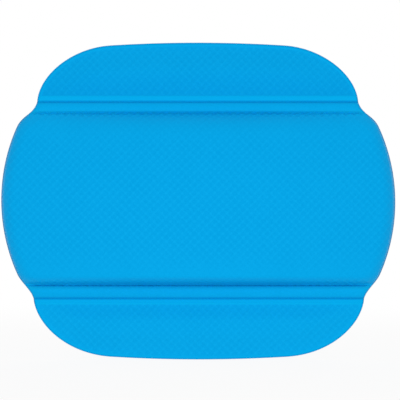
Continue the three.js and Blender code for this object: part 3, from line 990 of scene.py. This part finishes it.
for name, end in pillow_ends.items():
    pad, _, _ = flap_disc(f"{name}_flap_foam", end, foam_spacing, [pad_inset])
    turn_face(pad, 1)
    fill_with_foam(pad)
    punch_holes(pad, name, pocket_radius, pocket_top)
    finish_mesh(pad)
    pad.data.materials.append(foam)
    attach(pad, f"{name}_flap")
    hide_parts(f"{name}_flap_foam_pad")


# Suction cups, moulded in clear soft vinyl. The neck goes through the flap's hole, and the button head
# behind the sheet keeps the cup on. Heights are up from the plane of the rims.
turns = 72
cup_hollow = smooth_curve((13.8, 0), (-0.75, 0.66), 5, (0, 4.8), (-1, 0), 6)[::-36]
cup_dome = smooth_curve((14.75, 0.95), (-0.82, 0.57), 3.2, (5.6, 8.15), (-0.3, 0.95), 3.4)[::36]
cup_profile = [
    *cup_hollow, (14.35, 0), (14.8, 0.2), (15, 0.55), *cup_dome,
    (5.6, 8.95), (5.48, 9.23), (5.2, 9.35), (3.1, 9.35), (2.75, 9.45), (2.6, 9.8), (2.6, 11.3),
    (2.7, 11.55), (3, 11.65), (4.3, 11.65), (4.66, 11.8), (4.8, 12.15), (4.8, 12.8), (4.62, 13.3),
    (4.1, 13.6), (3.5, 13.65), (0, 13.65),
]
eyelet_profile = [
    (2.9, 10.7), (2.9, 9.85), (3.1, 9.68), (3.5, 9.65), (8.9, 9.65), (9.5, 9.72), (9.85, 9.95),
    (10, 10.3), (10, 10.7),
]


def turned(name, profile, middle, closed):
    """A profile of radius and height, spun about the axis of one cup."""
    x, z = middle
    radii, heights = np.array(profile).T * mm
    deselect()
    bpy.ops.mesh.primitive_circle_add(vertices=len(radii), radius=1)
    piece = bpy.context.object
    piece.name = name
    place(piece, np.column_stack([x + radii, -heights, np.full(len(radii), z)]))
    if not closed:
        last_edge = [set(edge.vertices) == {0, len(radii) - 1} for edge in piece.data.edges]
        for kind in (piece.data.vertices, piece.data.edges):
            kind.foreach_set("select", np.zeros(len(kind), bool))
        piece.data.edges.foreach_set("select", last_edge)
        bpy.ops.object.mode_set(mode="EDIT")
        bpy.ops.mesh.select_mode(type="EDGE")
        bpy.ops.mesh.delete(type="EDGE")
    bpy.ops.object.mode_set(mode="EDIT")
    bpy.ops.mesh.select_all(action="SELECT")
    bpy.ops.mesh.spin(steps=turns, angle=2 * math.pi, center=(x, 0, z), axis=(0, 1, 0))
    bpy.ops.object.mode_set(mode="OBJECT")
    merge_points(piece)
    finish_mesh(piece)
    bpy.context.view_layer.objects.active = piece
    piece.select_set(True)
    bpy.ops.object.shade_smooth_by_angle(angle=math.radians(50))
    deselect()
    return piece


clear = bpy.data.materials.new("clear_soft_vinyl")
clear.use_nodes = True
tree = clear.node_tree
shader = tree.nodes["Principled BSDF"]
space = tree.nodes.new("ShaderNodeTexCoord").outputs["Object"]
haze = noise(tree, space, 160, 3)
shader.inputs["Transmission Weight"].default_value = 0.92
shader.inputs["IOR"].default_value = 1.5
tree.links.new(mixed(tree, ramp(tree, haze, 0.3, 0.7), srgb(232, 242, 244), srgb(244, 249, 250)),
               shader.inputs["Base Color"])
tree.links.new(maths(tree, "MULTIPLY_ADD", haze, 0.12, 0.08), shader.inputs["Roughness"])
bump = tree.nodes.new("ShaderNodeBump")
bump.inputs["Strength"].default_value = 0.15
bump.inputs["Distance"].default_value = 0.2 * mm
tree.links.new(haze, bump.inputs["Height"])
tree.links.new(bump.outputs["Normal"], shader.inputs["Normal"])

glossy = bpy.data.materials.new("welded_ring_vinyl")
glossy.use_nodes = True
tree = glossy.node_tree
shader = tree.nodes["Principled BSDF"]
space = tree.nodes.new("ShaderNodeTexCoord").outputs["Object"]
mottle = noise(tree, space, 120, 3)
scuffs = noise(tree, space, 1500, 2)
tree.links.new(mixed(tree, ramp(tree, mottle, 0.35, 0.65), srgb(4, 146, 212), srgb(7, 153, 219)),
               shader.inputs["Base Color"])
tree.links.new(maths(tree, "MULTIPLY_ADD", scuffs, 0.16, 0.26), shader.inputs["Roughness"])
shader.inputs["Specular IOR Level"].default_value = 0.4
bump = tree.nodes.new("ShaderNodeBump")
bump.inputs["Strength"].default_value = 0.3
bump.inputs["Distance"].default_value = 0.05 * mm
tree.links.new(scuffs, bump.inputs["Height"])
tree.links.new(bump.outputs["Normal"], shader.inputs["Normal"])

for cup, end_name in cups:
    ring = turned(f"eyelet_{cup}", eyelet_profile, cup_middle(cup), True)
    ring.data.materials.append(glossy)
    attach(ring, f"{end_name}_flap")
    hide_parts(f"cup_eyelet_{cup}")
    sucker = turned(f"cup_{cup}", cup_profile, cup_middle(cup), False)
    sucker.data.materials.append(clear)
    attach(sucker, f"cup_{cup}")
    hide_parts(f"suction_cup_{cup}")


# Stage. A white floor meets the pillow's lower edge and fades into the white round it. The light is one
# large soft lamp in front, a little below the camera's axis, a weaker one behind, and even light all round.
floor_half_size = 2
floor_drop = 0.1 * mm
floor_fade = (0.3, 0.9)
floor_shade = 0.08
deselect()
bpy.ops.mesh.primitive_plane_add(size=2 * floor_half_size, location=(0, 0, pillow_low.z - floor_drop))
floor = bpy.context.object
floor.name = "floor"
floor.visible_diffuse = False
floor.visible_shadow = False
bpy.ops.object.transform_apply(location=True)

white = bpy.data.materials.new("white_floor")
white.use_nodes = True
tree = white.node_tree
shader = tree.nodes["Principled BSDF"]
shader.inputs["Base Color"].default_value = (0.8, 0.8, 0.8, 1)
shader.inputs["Roughness"].default_value = 0.9
shader.inputs["Specular IOR Level"].default_value = 0
glow = tree.nodes.new("ShaderNodeEmission")
space = tree.nodes.new("ShaderNodeTexCoord").outputs["Object"]
distance = tree.nodes.new("ShaderNodeVectorMath")
distance.operation = "LENGTH"
tree.links.new(space, distance.inputs[0])
near = ramp(tree, distance.outputs["Value"], *floor_fade, floor_shade, 0)
path = tree.nodes.new("ShaderNodeLightPath")
seen = maths(tree, "MAXIMUM", path.outputs["Is Camera Ray"],
             maths(tree, "MAXIMUM", path.outputs["Is Glossy Ray"], path.outputs["Is Transmission Ray"]))
lit_share = maths(tree, "SUBTRACT", 1, maths(tree, "MULTIPLY", seen, maths(tree, "SUBTRACT", 1, near)))
surface_mix = tree.nodes.new("ShaderNodeMixShader")
tree.links.new(lit_share, surface_mix.inputs[0])
tree.links.new(glow.outputs[0], surface_mix.inputs[1])
tree.links.new(shader.outputs[0], surface_mix.inputs[2])
tree.links.new(surface_mix.outputs[0], tree.nodes["Material Output"].inputs["Surface"])
floor.data.materials.append(white)

world = bpy.data.worlds.new("white_surroundings")
bpy.context.scene.world = world
world.use_nodes = True
tree = world.node_tree
around = tree.nodes["Background"]
around.inputs["Color"].default_value = (1, 1, 1, 1)
path = tree.nodes.new("ShaderNodeLightPath")
seen = maths(tree, "MAXIMUM", path.outputs["Is Camera Ray"],
             maths(tree, "MAXIMUM", path.outputs["Is Glossy Ray"], path.outputs["Is Transmission Ray"]))
even_light = 0.59
tree.links.new(maths(tree, "MULTIPLY_ADD", seen, 1 - even_light, even_light), around.inputs["Strength"])


def soft_lamp(name, size, power, position, aim):
    lamp = bpy.data.lights.new(name, "AREA")
    lamp.shape = "RECTANGLE"
    lamp.size, lamp.size_y = size
    lamp.energy = power
    carrier = bpy.data.objects.new(name, lamp)
    carrier.location = position
    carrier.rotation_euler = (Vector(aim) - Vector(position)).to_track_quat("-Z", "Y").to_euler()
    carrier.visible_camera = False
    bpy.context.scene.collection.objects.link(carrier)


soft_lamp("key", (1.1, 0.8), 7.8, (0, -1.35, -0.12), (0, 0, 0))
soft_lamp("behind", (1.1, 0.8), 5, (0.25, 1.2, 0.5), (0, 0, 0))

bpy.context.scene.view_settings.view_transform = "Standard"
